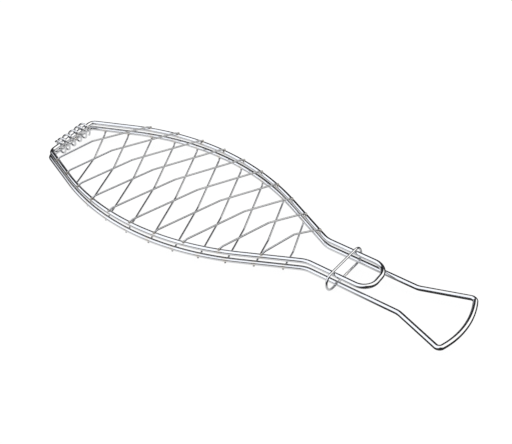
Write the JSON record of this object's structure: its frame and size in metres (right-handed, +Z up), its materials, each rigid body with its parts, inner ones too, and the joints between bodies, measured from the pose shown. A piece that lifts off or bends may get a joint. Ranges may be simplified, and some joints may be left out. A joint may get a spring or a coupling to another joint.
{
  "type": "grill basket",
  "caption": "Fish-shaped hinged wire grill basket: two frames with slanted grids, a hinge coil at the nose and an oblong ring that slides along the handle to lock it.",
  "frame": {"origin": "bottom centre of the closed basket's box, on the surface that it stands on", "axes": "+X from the nose hinge towards the tail of the handle, +Y across the basket, +Z up"},
  "size_m": [0.4584, 0.1384, 0.0302],
  "materials": {
    "frame_wire": "bright plated steel wire",
    "grid_wire": "plated thin steel wire",
    "coil_wire": "plated thin steel wire, wound",
    "ring_wire": "bright plated steel wire"
  },
  "bodies": {
    "lower_half": {"lower_frame": "frame_wire", "lower_grid_wire_01": "grid_wire", "lower_grid_wire_02": "grid_wire", "lower_grid_wire_03": "grid_wire", "lower_grid_wire_04": "grid_wire", "lower_grid_wire_05": "grid_wire", "lower_grid_wire_06": "grid_wire", "lower_grid_wire_07": "grid_wire", "lower_grid_wire_08": "grid_wire", "lower_grid_wire_09": "grid_wire", "lower_grid_wire_10": "grid_wire"},
    "upper_half": {"upper_frame": "frame_wire", "upper_grid_wire_01": "grid_wire", "upper_grid_wire_02": "grid_wire", "upper_grid_wire_03": "grid_wire", "upper_grid_wire_04": "grid_wire", "upper_grid_wire_05": "grid_wire", "upper_grid_wire_06": "grid_wire", "upper_grid_wire_07": "grid_wire", "upper_grid_wire_08": "grid_wire", "upper_grid_wire_09": "grid_wire", "upper_grid_wire_10": "grid_wire"},
    "hinge_coil": {"hinge_coil": "coil_wire"},
    "lock_ring": {"lock_ring": "ring_wire"}
  },
  "joints": [
    {"name": "basket_hinge", "type": "hinge", "parent": "lower_half", "child": "upper_half", "pos_m": [-0.2191, 0, 0.0193], "axis": [0, -1, 0], "range_deg": [0, 180]},
    {"name": "ring_slide", "type": "slide", "parent": "lower_half", "child": "lock_ring", "axis": [1, 0, 0], "range_m": [-0.024, 0.058]},
    {"name": "coil_slide", "type": "slide", "parent": "lower_half", "child": "hinge_coil", "axis": [0, 1, 0], "range_m": [-0.005, 0.002]}
  ]
}
